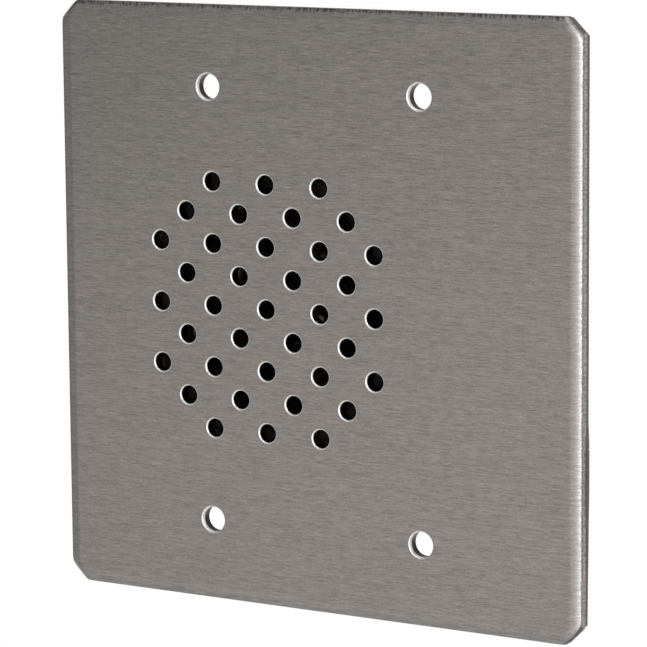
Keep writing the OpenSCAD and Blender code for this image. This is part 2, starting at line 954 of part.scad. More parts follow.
// Moulded housing with a wire entry and a screw well for each terminal
module terminal_block() {
    profile = [
        [-block_l / 2, 0],
        [block_l / 2, 0],
        [block_l / 2, block_h],
        [block_shoulder - block_l / 2, block_h],
        [-block_l / 2, block_h - block_shoulder]
    ];
    color("#2f6f4a")
        on_board([[0, block_z]])
            difference() {
                rotate([90, 0, 90])
                    linear_extrude(block_w, center = true)
                        polygon([for (p = profile) [p[1], p[0]]]);
                for (i = [0 : pole_count - 1])
                    translate([pole_x(i), 0, 0]) {
                        translate([-entry_w / 2, entry_floor, -block_l / 2 - cut_over])
                            cube([entry_w, entry_h, entry_l + cut_over]);
                        translate([0, 0, clamp_z]) {
                            rod(clamp_d + 2 * fit_gap, entry_floor, block_h);
                            rod(clamp_head_d + 2 * fit_gap, clamp_head_y, block_h);
                        }
                    }
            }
}

// Slotted screws in the terminals
module terminal_screws() {
    tip = entry_floor + cage_wall + fit_gap + cage_h / 2;
    top = clamp_head_y + clamp_head_h;
    color("#c6c3ba")
        on_board([for (i = [0 : pole_count - 1]) [pole_x(i), block_z + clamp_z]])
            difference() {
                union() {
                    rod(clamp_d, tip, clamp_head_y + clamp_head_h / 2 - tip);
                    rod(clamp_head_d, clamp_head_y, clamp_head_h);
                }
                block(clamp_head_d + cut_over, slot_w, top - slot_h, slot_h + cut_over);
            }
}

// Square cages that clamp the wires
module terminal_cages() {
    color("#c9b98a")
        on_board([for (i = [0 : pole_count - 1]) [pole_x(i), block_z + clamp_z]])
            difference() {
                block(cage_w, cage_l, entry_floor, cage_h);
                block(
                    cage_w - 2 * cage_wall, cage_l + cut_over,
                    entry_floor + cage_wall, cage_h - cage_wall - cage_bar
                );
                rod(clamp_d + 2 * thread_gap, entry_floor + cage_wall, cage_h);
            }
}

// Body of the volume trimmer, with a well for the rotor
module trimmer_body() {
    well_y = rotor_under - rotor_lift;
    color("#2f5f9e")
        on_board([trimmer_at])
            difference() {
                block(trimmer_w, trimmer_w, 0, trimmer_h);
                rod(rotor_d + 2 * rotor_gap, well_y, trimmer_h);
                rod(pivot_d + 2 * pivot_gap, well_y - pivot_l - rotor_lift, trimmer_h);
            }
}

// Slotted rotor of the trimmer, on its pivot
module trimmer_rotor() {
    color("#d8d4c6")
        on_board([trimmer_at])
            difference() {
                union() {
                    rod(rotor_d, rotor_under, rotor_t);
                    rod(pivot_d, rotor_under - pivot_l, pivot_l + rotor_t / 2);
                }
                block(rotor_d - 2 * slot_w, slot_w, rotor_top - slot_h, slot_h + cut_over);
            }
}

// Moulded chip with drafted sides and an end notch
module amplifier_chip() {
    draft = 0.3;
    notch_d = 1.6;
    color("#232325")
        on_board([chip_at])
            difference() {
                linear_extrude(chip_l, center = true)
                    polygon([
                        [draft - chip_w / 2, chip_stand],
                        [chip_w / 2 - draft, chip_stand],
                        [chip_w / 2, chip_stand + chip_t / 2],
                        [chip_w / 2 - draft, chip_stand + chip_t],
                        [draft - chip_w / 2, chip_stand + chip_t],
                        [-chip_w / 2, chip_stand + chip_t / 2]
                    ]);
                translate([0, 0, chip_l / 2])
                    rod(notch_d, chip_stand + chip_t - slot_h, chip_t);
            }
}

// Bent pins along both sides of the chip
module chip_pins() {
    pin_y = chip_stand + chip_t / 2;
    foot = -board_t - lead_stub;
    color("#c9c7c0")
        on_board([chip_at])
            for (side = [0, 1], i = [0 : chip_pins_side - 1])
                mirror([side, 0, 0])
                    translate([0, 0, (i - (chip_pins_side - 1) / 2) * chip_pitch]) {
                        translate([chip_w / 2, pin_y - pin_t / 2, -pin_shoulder / 2])
                            cube([chip_row / 2 + pin_t / 2 - chip_w / 2, pin_t, pin_shoulder]);
                        translate([chip_row / 2 - pin_t / 2, fit_gap, -pin_shoulder / 2])
                            cube([pin_t, pin_y - fit_gap, pin_shoulder]);
                        translate([chip_row / 2 - pin_t / 2, foot, -pin_w / 2])
                            cube([pin_t, fit_gap + pin_t - foot, pin_w]);
                    }
}

// Aluminium can with a bead above its foot and a broken top edge
module can(d, h) {
    r = d / 2;
    bead = 0.35;
    bead_y = 1.6;
    turned()
        polygon([
            [0, 0],
            [r, 0],
            [r, bead_y - bead],
            [r - bead, bead_y],
            [r, bead_y + bead],
            [r, h - edge_break],
            [r - edge_break, h],
            [0, h]
        ]);
}

// Smoothing and coupling capacitors
module electrolytic_capacitors() {
    color("#31343c") {
        on_board([big_can_at])
            can(big_can_d, big_can_h);
        on_board(small_cans_at)
            can(small_can_d, small_can_h);
    }
}

// Boxed film capacitors
module film_capacitors() {
    color("#a03a2a")
        on_board(films_at)
            sheet(0, film_h)
                cut_square(film_l, film_t, edge_break);
}

// Resistor bodies with thicker ends, lying along Z
module resistors() {
    waist_share = 0.8;
    waist = waist_share * resistor_d / 2;
    end_share = 0.2;
    end_l = end_share * resistor_l;
    r = resistor_d / 2;
    color("#c8ad84")
        on_board(resistors_at)
            translate([0, r, -resistor_l / 2])
                rotate_extrude()
                    polygon([
                        [0, 0],
                        [r, 0],
                        [r, end_l],
                        [waist, end_l + r - waist],
                        [waist, resistor_l - end_l - r + waist],
                        [r, resistor_l - end_l],
                        [r, resistor_l],
                        [0, resistor_l]
                    ]);
}

// Wire from a resistor's end, bent down through the board
module bent_lead() {
    bend_r = 2 * lead_d;
    y = resistor_d / 2;
    foot = -board_t - lead_stub;
    run = (resistor_span - resistor_l) / 2 - bend_r;
    translate([0, y, resistor_l / 2])
        cylinder(d = lead_d, h = run);
    translate([0, foot, resistor_span / 2])
        rotate([-90, 0, 0])
            cylinder(d = lead_d, h = y - bend_r - foot);
    translate([0, y - bend_r, resistor_l / 2 + run])
        rotate([0, -90, 0])
            rotate_extrude(angle = 90)
                translate([bend_r, 0])
                    circle(d = lead_d);
}

// Leads of the board's components, through the board
module component_leads() {
    color("#cfccc4") {
        on_board(straight_leads)
            rod(lead_d, -board_t - lead_stub, board_t + lead_stub);
        on_board(resistors_at)
            for (end = [0, 1])
                mirror([0, 0, end])
                    bent_lead();
    }
}

// Header with a locking wall, for the loudspeaker's lead
module speaker_header() {
    wall = 1.2;
    wall_h = 7;
    color("#e4ded0")
        on_board([header_at])
            difference() {
                union() {
                    block(header_w, header_l, 0, header_h);
                    translate([-header_w / 2, 0, header_l / 2 - wall])
                        cube([header_w, wall_h, wall]);
                }
                at_each([for (side = [-1, 1]) [side * header_pitch / 2, 0]])
                    block(
                        header_pin_w + 2 * glue_gap, header_pin_w + 2 * glue_gap,
                        -cut_over, header_h + 2 * cut_over
                    );
            }
}

// Square pins of the header
module header_pins() {
    pin_top = 9;
    color("#d0cbbd")
        on_board(header_pins_at)
            block(header_pin_w, header_pin_w, -board_t - lead_stub, pin_top + board_t + lead_stub);
}

face_plate();
wall_gasket();
weld_studs();
speaker_gasket();
speaker_frame();
cone_surround();
cone();
dust_cap();
coil_former();
voice_coil();
spider();
magnet_front_plate();
magnet();
yoke();
tag_board();
solder_tags();
tag_rivets();
lock_washers();
speaker_nuts();
hex_standoffs();
circuit_board();
board_screws();
terminal_block();
terminal_screws();
terminal_cages();
trimmer_body();
trimmer_rotor();
amplifier_chip();
chip_pins();
electrolytic_capacitors();
film_capacitors();
resistors();
component_leads();
speaker_header();
header_pins();
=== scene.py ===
import math

import bpy
from mathutils import Matrix, Vector


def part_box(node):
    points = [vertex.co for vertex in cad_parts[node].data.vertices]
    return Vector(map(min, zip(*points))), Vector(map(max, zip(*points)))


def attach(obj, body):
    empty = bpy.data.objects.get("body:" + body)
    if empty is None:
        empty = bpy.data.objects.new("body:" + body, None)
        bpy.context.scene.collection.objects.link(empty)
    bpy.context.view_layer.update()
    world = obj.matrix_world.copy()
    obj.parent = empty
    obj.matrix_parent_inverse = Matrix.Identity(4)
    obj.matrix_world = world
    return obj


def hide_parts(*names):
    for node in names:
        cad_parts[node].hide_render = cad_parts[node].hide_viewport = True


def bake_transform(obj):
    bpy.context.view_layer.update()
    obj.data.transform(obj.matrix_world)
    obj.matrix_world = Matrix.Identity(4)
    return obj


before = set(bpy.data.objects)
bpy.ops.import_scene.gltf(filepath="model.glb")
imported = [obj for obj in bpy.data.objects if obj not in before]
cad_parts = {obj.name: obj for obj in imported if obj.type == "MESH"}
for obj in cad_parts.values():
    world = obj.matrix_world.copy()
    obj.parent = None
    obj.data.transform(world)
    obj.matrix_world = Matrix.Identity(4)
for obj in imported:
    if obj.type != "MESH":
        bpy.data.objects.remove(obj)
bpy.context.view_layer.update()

# Camera
# A long lens stands right of the plate and a little above it. Its place was solved from
# the screw holes, the grid of sound holes and the plate's rim.
camera_place = Vector((0.346873, -0.562308, 0.103092))
camera_right = Vector((0.85229, 0.52301, -0.00836))
camera_up = Vector((-0.07521, 0.13834, 0.98752))
camera_back = Vector((0.51764, -0.84102, 0.15725))
camera_turn = Matrix((camera_right, camera_up, camera_back)).transposed().to_4x4()
bpy.ops.object.camera_add(location=camera_place)
camera = bpy.context.object
camera.data.sensor_width = 36
camera.data.lens = 198.329
camera.data.clip_start = 0.01
camera.matrix_world = Matrix.Translation(camera_place) @ camera_turn
bpy.context.scene.camera = camera
bpy.context.scene.view_settings.view_transform = "Standard"


# Studio
# White paper stands behind the object. Towards the camera the room is grey, lighter on the
# right, where a softbox and a strip light stand. A flat lamp hangs overhead, a card lights the
# underside, and a round fill stands close on the left.
class Tone:
    """A socket of a node tree. Arithmetic on it adds Math nodes."""

    def __init__(self, socket):
        self.socket = socket

    def node(self, kind, settings, inputs, output=0):
        """A new node with its settings, then the values or links of its sockets."""
        tree = self.socket.id_data
        made = tree.nodes.new(kind)
        for name, value in settings.items():
            setattr(made, name, value)
        for name, value in inputs.items():
            if isinstance(value, Tone):
                tree.links.new(value.socket, made.inputs[name])
            else:
                made.inputs[name].default_value = value
        return Tone(made.outputs[output])

    def math(self, operation, *others):
        """This value and others put through one Math node."""
        inputs = dict(enumerate((self, *others)))
        return self.node("ShaderNodeMath", {"operation": operation}, inputs)

    def __add__(self, other):
        return self.math("ADD", other)

    __radd__ = __add__

    def __mul__(self, other):
        return self.math("MULTIPLY", other)

    __rmul__ = __mul__

    def __sub__(self, other):
        return self.math("SUBTRACT", other)

    def __rsub__(self, other):
        return self.math("MULTIPLY_ADD", -1.0, other)

    def __truediv__(self, other):
        return self.math("DIVIDE", other)

    def ramp(self, start, end, low=0.0, high=1.0):
        """Smooth change from low to high while this value goes from start to end."""
        return self.node(
            "ShaderNodeMapRange",
            {"interpolation_type": "SMOOTHSTEP"},
            {"Value": self, "From Min": start, "From Max": end, "To Min": low, "To Max": high},
        )

    def mix(self, first, second):
        """Colour between two colours, the first where this value is 0."""
        factor_in, first_in, second_in, colour_out = 0, 6, 7, 2
        inputs = {factor_in: self}
        for socket, colour in ((first_in, first), (second_in, second)):
            inputs[socket] = colour if isinstance(colour, Tone) else (*colour, 1.0)
        return self.node("ShaderNodeMix", {"data_type": "RGBA"}, inputs, colour_out)

    def stretch(self, scale, move=(0, 0, 0)):
        """This vector scaled and moved."""
        return self.node(
            "ShaderNodeMapping", {}, {"Vector": self, "Location": move, "Scale": scale}
        )

    def axes(self):
        """The three parts of this vector."""
        parts = self.node("ShaderNodeSeparateXYZ", {}, {"Vector": self})
        return [Tone(part) for part in parts.socket.node.outputs]

    def noise(self, scale=1.0, detail=2.0, rough=0.5):
        """Cloudy values round 0.5 over this vector."""
        return self.node(
            "ShaderNodeTexNoise",
            {},
            {"Vector": self, "Scale": scale, "Detail": detail, "Roughness": rough},
        )


world = bpy.data.worlds.new("studio")
world.use_nodes = True
bpy.context.scene.world = world
paper = world.node_tree.nodes["Background"]
paper.inputs["Color"].default_value = (1, 1, 1, 1)
ray = world.node_tree.nodes.new("ShaderNodeLightPath").outputs
towards = Tone(world.node_tree.nodes.new("ShaderNodeTexCoord").outputs["Generated"])
to_right, to_back, to_top = towards.axes()
# How bright the room is where metal mirrors it, by direction
walls = to_top.ramp(-0.32, 0.02, 0.68, 0.4) * to_top.ramp(-0.9, -0.3, 0.8, 1.0)
ceiling = to_top.ramp(0.5, 0.75, 1.0, 0.25)
far_left = to_right.ramp(-1.0, -0.86, 0.72, 1.0)
left_of_lens = to_right.ramp(-0.66, -0.4, 0.96, 1.2) * to_right.ramp(-0.36, -0.12, 1.0, 0.8)
far_right = to_right.ramp(0.5, 0.78, 1.0, 0.16)
fill_right, fill_top = -0.49, -0.14
beside_fill = (to_right - fill_right).math("ABSOLUTE")
above_fill = (to_top - fill_top).math("ABSOLUTE")
behind_fill = beside_fill.math("MAXIMUM", above_fill).ramp(0.12, 0.4, 0.38, 1.0)
rise = (to_right + 0.2).math("MAXIMUM", 0.0)
lighter_right = (1.735 + 1.44 * to_right + 2.3 * rise * rise).math("MAXIMUM", 0.78)
room = walls * ceiling * far_left * left_of_lens * far_right * behind_fill * lighter_right
mirrored = room + to_back.ramp(0.05, 0.5) * (1 - room)
straight = Tone(ray["Is Camera Ray"]).math("MAXIMUM", Tone(ray["Is Transmission Ray"]))
ambient = 0.45
strength = ambient + Tone(ray["Is Glossy Ray"]) * (mirrored - ambient)
strength = strength + straight * (1 - strength)
world.node_tree.links.new(strength.socket, paper.inputs["Strength"])


def lamp(name, place, width, height, watts, form="RECTANGLE"):
    """Soft flat lamp that looks at the object."""
    place = Vector(place)
    bpy.ops.object.light_add(
        type="AREA", location=place, rotation=(-place).to_track_quat("-Z", "Y").to_euler()
    )
    made = bpy.context.object
    made.name = name
    made.data.shape = form
    made.data.size = width
    made.data.size_y = height
    made.data.energy = watts
    made.visible_camera = False


lamp("softbox", (0.82, -0.45, 0.3), width=0.6, height=0.8, watts=4.0)
lamp("strip_light", (0.5, -0.8, 0.09), width=0.08, height=0.5, watts=1.5)
lamp("overhead", (0.05, 0.06, 0.75), width=0.7, height=0.5, watts=3.4)
lamp("bounce_card", (0.0, 0.09, -0.24), width=0.2, height=0.14, watts=0.2)
lamp("round_fill", (-0.155, -0.3, -0.105), width=0.33, height=0.27, watts=0.057, form="ELLIPSE")

floor_r, floor_y, floor_z = 0.36, 0.01, -0.25
fade_from, fade_to = 0.26, 0.35
bpy.ops.mesh.primitive_circle_add(
    vertices=128, radius=floor_r, fill_type="NGON", location=(0, floor_y, floor_z)
)
floor = bpy.context.object
floor.name = "floor"
bpy.ops.object.transform_apply()
floor_paper = bpy.data.materials.new("floor_paper")
floor_paper.use_nodes = True
floor_nodes = floor_paper.node_tree.nodes
floor_links = floor_paper.node_tree.links
floor_shader = floor_nodes["Principled BSDF"]
floor_shader.inputs["Roughness"].default_value = 0.7
floor_spot = Tone(floor_nodes.new("ShaderNodeTexCoord").outputs["Object"])
fibres = floor_spot.noise(120.0, 3.0).mix((0.84, 0.84, 0.83), (0.88, 0.88, 0.87))
floor_links.new(fibres.socket, floor_shader.inputs["Base Color"])
east, north, _ = floor_spot.axes()
from_middle = (east * east + north * north).math("SQRT")
floor_ray = floor_nodes.new("ShaderNodeLightPath").outputs
glossy = Tone(floor_ray["Is Glossy Ray"])
through_glass = Tone(floor_ray["Is Transmission Ray"])
looked_at = Tone(floor_ray["Is Camera Ray"]).math("MAXIMUM", through_glass)
white = floor_nodes.new("ShaderNodeEmission")
floor_links.new((1 - 0.5 * glossy).socket, white.inputs["Strength"])
whiter = (looked_at * from_middle.ramp(fade_from, fade_to)).math("MAXIMUM", glossy)
fade = floor_nodes.new("ShaderNodeMixShader")
floor_links.new(whiter.socket, fade.inputs[0])
floor_links.new(floor_shader.outputs[0], fade.inputs[1])
floor_links.new(white.outputs[0], fade.inputs[2])
floor_links.new(fade.outputs[0], floor_nodes["Material Output"].inputs["Surface"])
floor.data.materials.append(floor_paper)


# Face plate
# Punched from 2.3 mm stainless sheet and brushed across. The punch rolls its edges, its cut
# corners and the hole rims over, and leaves the sheared sides dull and torn. The hole walls,
# the top and bottom sides and the top and left edges carry painted shade, the rims a painted
# highlight.
mm = 0.001
touching = 0.001 * mm


def dress(made, *nodes):
    """Gives these CAD nodes a finish."""
    for node in nodes:
        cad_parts[node].material_slots[0].material = made


def finish(name, fixed, *nodes):
    """New material on these CAD nodes with its fixed values, its coordinates and its normals."""
    made = bpy.data.materials.new(name)
    made.use_nodes = True
    shader = made.node_tree.nodes["Principled BSDF"]
    for socket, value in fixed.items():
        shader.inputs[socket].default_value = value
    dress(made, *nodes)
    spot = made.node_tree.nodes.new("ShaderNodeTexCoord").outputs
    return made, Tone(spot["Object"]), Tone(spot["Normal"])


def feed(made, tones, height=None, relief=0.0):
    """Links tones to the material's shader, and a height through a Bump node."""
    tree = made.node_tree
    sockets = tree.nodes["Principled BSDF"].inputs
    for socket, tone in tones.items():
        tree.links.new(tone.socket, sockets[socket])
    if height:
        bump = height.node("ShaderNodeBump", {}, {"Distance": relief, "Height": height})
        tree.links.new(bump.socket, sockets["Normal"])


def merged_copy(node, name):
    """Copy of a CAD node with its loose triangles merged into one skin of flat faces."""
    bpy.ops.object.select_all(action="DESELECT")
    made = bpy.data.objects.new(name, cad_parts[node].data.copy())
    bpy.context.collection.objects.link(made)
    made.select_set(True)
    bpy.context.view_layer.objects.active = made
    bpy.ops.mesh.customdata_custom_splitnormals_clear()
    bpy.ops.object.mode_set(mode="EDIT")
    bpy.ops.mesh.select_all(action="SELECT")
    bpy.ops.mesh.remove_doubles(threshold=touching)
    bpy.ops.mesh.dissolve_limited(angle_limit=math.radians(1))
    bpy.ops.object.mode_set(mode="OBJECT")
    return made


def shape(piece, kind, **settings):
    """Adds a modifier to the piece, sets it and applies it."""
    bpy.context.view_layer.objects.active = piece
    modifier = piece.modifiers.new(kind.lower(), kind)
    for setting, value in settings.items():
        setattr(modifier, setting, value)
    bpy.ops.object.modifier_apply(modifier=modifier.name)


def bevel(piece, width, segments, angle):
    """Rounds the edges that are sharper than an angle in degrees."""
    limit = math.radians(angle)
    shape(
        piece, "BEVEL", width=width, segments=segments, limit_method="ANGLE", angle_limit=limit
    )


def smooth(piece, angle=40):
    """Shades the piece smooth up to an angle between faces, in degrees."""
    bpy.ops.object.select_all(action="DESELECT")
    piece.select_set(True)
    bpy.context.view_layer.objects.active = piece
    bpy.ops.object.shade_smooth_by_angle(angle=math.radians(angle))


def fit(piece, made, slot, *nodes):
    """Gives a new piece of the station its finish, in place of these CAD nodes."""
    piece.data.materials.clear()
    piece.data.materials.append(made)
    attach(piece, "station")
    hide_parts(*nodes)


plate = merged_copy("face_plate", "brushed_plate")
plate_low, plate_high = (Vector(corner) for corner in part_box("face_plate"))
plate_mid = (plate_low + plate_high) / 2
plate_front, plate_half = plate_low.y, (plate_high - plate_low) / 2
corner_cut, corner_roll_w, corner_roll_d, roll_steps = 3.2 * mm, 1.6 * mm, 0.8 * mm, 10
corner_roll_r = (corner_roll_w ** 2 + corner_roll_d ** 2) / (2 * corner_roll_d)
cut_from_mid = (plate_half.x + plate_half.z - corner_cut) / math.sqrt(2)
outwards = [Vector((side, 0, level)).normalized() for side in (-1, 1) for level in (-1, 1)]
bpy.ops.object.mode_set(mode="EDIT")
for way in outwards:
    for step in range(roll_steps):
        bpy.ops.mesh.select_all(action="SELECT")
        inside = corner_roll_w * (1 - step / roll_steps)
        bpy.ops.mesh.bisect(plane_co=plate_mid + way * (cut_from_mid - inside), plane_no=way)
bpy.ops.object.mode_set(mode="OBJECT")
for point in plate.data.vertices:
    inside = cut_from_mid - max((point.co - plate_mid).dot(way) for way in outwards)
    below_face = point.co.y - plate_front
    if inside < corner_roll_w and below_face < corner_roll_d:
        run = min(corner_roll_w - inside, corner_roll_w)
        fall = corner_roll_r - math.sqrt(corner_roll_r ** 2 - run ** 2)
        point.co.y = plate_front + math.hypot(below_face, fall)
smooth(plate, angle=32)
shape(plate, "WEIGHTED_NORMAL", keep_sharp=True)

steel, spot, normal = finish(
    "brushed_stainless", {"Anisotropic": 0.5, "Anisotropic Rotation": 0.25}
)
across, depth, up = spot.axes()
normal_x, normal_y, normal_z = normal.axes()
hairlines = spot.stretch((400, 400, 9200)).noise(detail=2.0, rough=0.6)
strokes = spot.stretch((170, 170, 4000)).noise(detail=2.0)
sparks = spot.stretch((2900, 2900, 7000), move=(7, 3, 5)).noise(detail=1.0)
grain = 0.52 * hairlines + 0.23 * strokes + 0.25 * sparks
# Where on the plate: its rim, its sides, the rolled edge and the eased rims of the holes
plate_shift = 0.3 * mm
facing = normal_y.math("ABSOLUTE")
rim = (across + plate_shift).math("ABSOLUTE").math("MAXIMUM", up.math("ABSOLUTE"))
outside = rim.ramp(52.5 * mm, 53.5 * mm)
side_on = facing.ramp(0.1, 0.4, 1.0, 0.0)
rolled = outside * facing.ramp(0.9, 0.99, 1.0, 0.0)
eased = (1 - outside) * facing.ramp(0.95, 0.992, 1.0, 0.0) * facing.ramp(0.15, 0.35)
by_screw = up.math("ABSOLUTE").ramp(34 * mm, 37 * mm)
# Brushed face, a little warmer than its rolled edge
dark_line = rolled.mix((0.27, 0.249, 0.232), (0.27, 0.262, 0.256))
light_line = rolled.mix((0.62, 0.571, 0.535), (0.62, 0.602, 0.588))
brushed = grain.ramp(0.28, 0.72).mix(dark_line, light_line)
# Sheared sides, torn behind a burnished band
torn = spot.stretch((2600, 1100, 2600)).noise(detail=3.0, rough=0.6).ramp(0.3, 0.7, 0.05, 1.05)
burnished = depth.ramp(-1.55 * mm, -1.05 * mm, 0.35, 1.0)
torn_side = (torn * burnished).mix((0.14, 0.128, 0.125), (0.45, 0.412, 0.402))
# The top and bottom sides are painted near black, as shade.
end_on = normal_z.math("ABSOLUTE").ramp(0.3, 0.8)
torn_side_painted_shade = end_on.mix(torn_side, (0.06, 0.055, 0.054))
# Hole walls painted near black as shade, with painted light on the front and, faintly, the
# upper walls of the screw holes, where light comes through from behind
bore_lit_front = depth.ramp(-1.75 * mm, -1.35 * mm, 0.85, 0.0)
bore_painted_light = bore_lit_front.math("MAXIMUM", normal_z.ramp(-0.7, 0.2, 0.12, 0.0))
bore_shade_and_light = (bore_painted_light * by_screw).mix((0.03, 0.026, 0.024), (0.9, 0.85, 0.82))
sheared = outside.mix(bore_shade_and_light, torn_side_painted_shade)
# Painted shade on the top and left rolled edges, darker towards the left, with dark nicks,
# and a ragged end of the right edge
nicks = spot.stretch((2000, 600, 600), move=(3, 1, 2)).noise(detail=2.0, rough=0.6)
nicked = 0.5 + normal_z.ramp(0.05, 0.2) * (nicks.ramp(0.36, 0.62) - 0.5)
up_or_left = normal_z.math("MAXIMUM", -0.8 * normal_x) + 0.22 * nicked
shaded_edge = rolled * up_or_left.ramp(0.37, 0.57) * normal_x.ramp(0.08, 0.2, 1.0, 0.0)
edge_shade_tone = across.ramp(-50 * mm, 20 * mm).mix((0.28, 0.259, 0.248), (0.37, 0.342, 0.327))
edge_shade_and_nicks = nicked.ramp(0.5, 1.0).mix(edge_shade_tone, (0.13, 0.12, 0.115))
tears = 0.24 * mm * spot.stretch((300, 300, 2300)).noise(detail=2.0, rough=0.6)
ragged = rolled * normal_x.ramp(0.2, 0.4) * (depth + tears).ramp(-1.68 * mm, -1.62 * mm)
face_and_shaded_edges = ragged.mix(shaded_edge.mix(brushed, edge_shade_and_nicks), torn_side)
# Eased hole rims, painted pale and made half metallic as a highlight. At the screw holes the
# side that faces right, towards the lamps, is painted paler than the rest.
lit_rim = normal_x.ramp(-0.45, 0.15).math("MAXIMUM", 0.85 * (1 - by_screw))
rim_highlight = lit_rim.mix((0.4, 0.39, 0.385), (0.88, 0.865, 0.85))
# The eased rims' pale colour and lower metallic are a painted highlight.
feed(
    steel,
    {
        "Base Color": eased.mix(side_on.mix(face_and_shaded_edges, sheared), rim_highlight),
        "Roughness": 0.29 + 0.13 * grain + 0.14 * side_on,
        "Metallic": 1 - 0.5 * eased,
    },
    height=grain,
    relief=0.012 * mm,
)
fit(plate, steel, "brushed_stainless", "face_plate")


# Foam tape
# Closed-cell foam tape, dark grey, stuck round the back of the plate by hand. It starts and
# ends on the right side, where its upper end spreads before the joint.
def foam(name, dark, light, cells):
    """Matt foam with cells of so many to the metre."""
    made, spot, _ = finish(name, {"Roughness": 0.9, "Specular IOR Level": 0.25})
    walls = spot.node(
        "ShaderNodeTexVoronoi", {"feature": "DISTANCE_TO_EDGE"}, {"Vector": spot, "Scale": cells}
    )
    pores = walls.ramp(0.02, 0.3)
    worn = 0.6 * pores + 0.4 * spot.noise(900.0, 3.0)
    feed(made, {"Base Color": worn.mix(light, dark)}, height=1 - pores, relief=0.04 * mm)
    return made


tape = merged_copy("wall_gasket", "foam_tape")
tape_low, tape_high = (Vector(corner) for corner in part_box("wall_gasket"))
slice_every = 3.7 * mm
bpy.ops.object.mode_set(mode="EDIT")
for along in (Vector((1, 0, 0)), Vector((0, 0, 1))):
    for cut in range(1, int((tape_high - tape_low).dot(along) / slice_every)):
        bpy.ops.mesh.select_all(action="SELECT")
        bpy.ops.mesh.bisect(plane_co=tape_low + along * cut * slice_every, plane_no=along)
bpy.ops.mesh.select_all(action="DESELECT")
bpy.ops.object.mode_set(mode="OBJECT")
right_run, outer_face = 40 * mm, 55.5 * mm
joint_z, joint_gap, gap_closed = -21 * mm, 0.4 * mm, 0.85
lower_end, drawn_in = -27 * mm, -0.3 * mm
for point in tape.data.vertices:
    on_end = abs(point.co.z - joint_z - joint_gap) < 0.01 * mm
    if on_end and point.co.x > right_run:
        point.co.z -= gap_closed * joint_gap
    point.select = on_end and point.co.x > outer_face
    if point.co.x > right_run and point.co.z < lower_end:
        point.co.x += drawn_in * (point.co.z - lower_end) / (tape_low.z - lower_end)
bpy.ops.object.mode_set(mode="EDIT")
end_spread, spread_reach = 0.18 * mm, 4.5 * mm
bpy.ops.transform.translate(
    value=(end_spread, 0, 0),
    use_proportional_edit=True,
    use_proportional_connected=True,
    proportional_edit_falloff="SMOOTH",
    proportional_size=spread_reach,
)
bpy.ops.object.mode_set(mode="OBJECT")
bevel(tape, width=0.2 * mm, segments=2, angle=30)
waves = bpy.data.textures.new("tape_waves", "CLOUDS")
waves.noise_scale = 5 * mm
shape(
    tape, "DISPLACE", texture=waves, texture_coords="LOCAL", strength=0.12 * mm, mid_level=0.75
)
smooth(tape, angle=50)
tape_foam = foam("tape_foam", (0.05, 0.047, 0.047), (0.17, 0.16, 0.157), cells=3200.0)
fit(tape, tape_foam, "foam_tape", "wall_gasket")


# Welded studs
# Copper-flashed steel studs, shot on to the back of the plate, so that its front shows no
# fastener. The four for the loudspeaker stand free and show their thread.
def turned(name, axis, outline, steps):
    """Ring or dome spun round an axis along Y from a closed outline of (radius, depth) in mm."""
    bpy.ops.object.select_all(action="DESELECT")
    bpy.ops.mesh.primitive_circle_add(vertices=len(outline), radius=mm, location=axis)
    made = bpy.context.object
    made.name = name
    for point, (radius, depth) in zip(made.data.vertices, outline):
        point.co = (radius * mm, depth * mm, 0)
    bpy.ops.object.mode_set(mode="EDIT")
    bpy.ops.mesh.select_all(action="SELECT")
    bpy.ops.mesh.spin(steps=steps, angle=math.tau, center=axis, axis=(0, 1, 0))
    bpy.ops.mesh.select_all(action="SELECT")
    bpy.ops.mesh.remove_doubles(threshold=touching)
    bpy.ops.mesh.delete_loose()
    bpy.ops.mesh.select_all(action="SELECT")
    bpy.ops.mesh.normals_make_consistent(inside=False)
    bpy.ops.object.mode_set(mode="OBJECT")
    bpy.ops.object.transform_apply()
    smooth(made)
    return made


def row_of(piece, places):
    """The piece, which stands at the first place, and copies with their own mesh at the others."""
    row = [piece]
    for number, place in enumerate(places[1:], 2):
        bpy.ops.object.select_all(action="DESELECT")
        piece.select_set(True)
        bpy.context.view_layer.objects.active = piece
        bpy.ops.object.duplicate(linked=False)
        made = bpy.context.object
        made.name = piece.name[:-1] + str(number)
        made.location = place - places[0]
        bpy.ops.object.transform_apply()
        row.append(made)
    return row


def plated(name, tint, *nodes):
    """Bright plating with faint cloudy colours and handling marks."""
    made, spot, _ = finish(name, {"Metallic": 1.0}, *nodes)
    cloud = spot.noise(420.0, 3.0)
    marks = spot.stretch((5000, 900, 2600)).noise(detail=2.0)
    dull = [0.72 * part for part in tint]
    handled = (0.7 * cloud + 0.3 * marks).ramp(0.3, 0.7)
    feed(
        made,
        {"Base Color": handled.mix(dull, tint), "Roughness": 0.2 + 0.22 * cloud},
        height=marks,
        relief=0.008 * mm,
    )
    return made


speaker_x, stud_x, stud_z = -10.5 * mm, 26 * mm, 26 * mm
speaker_studs = [
    Vector((speaker_x + side * stud_x, 0, level * stud_z)) for side in (-1, 1) for level in (-1, 1)
]
core_r, crest_r, pitch, turns = 1.2, 1.48, 0.5, 11
thread_start, stud_end, point_cut = 1.3, 7.3, 0.25
stud = turned(
    "speaker_stud_1",
    speaker_studs[0],
    [
        (0, 0.02), (2.3, 0.02), (2.3, 0.5), (2.1, 0.7), (1.75, 0.78), (1.42, 1.15),
        (core_r, thread_start), (core_r, stud_end - point_cut),
        (core_r - point_cut, stud_end), (0, stud_end),
    ],
    steps=32,
)
bpy.ops.object.select_all(action="DESELECT")
bpy.ops.mesh.primitive_circle_add(vertices=4, radius=mm, location=speaker_studs[0])
thread = bpy.context.object
tooth_root = core_r - 0.1
tooth = [(tooth_root, 0), (tooth_root, 0.44), (crest_r, 0.28), (crest_r, 0.16)]
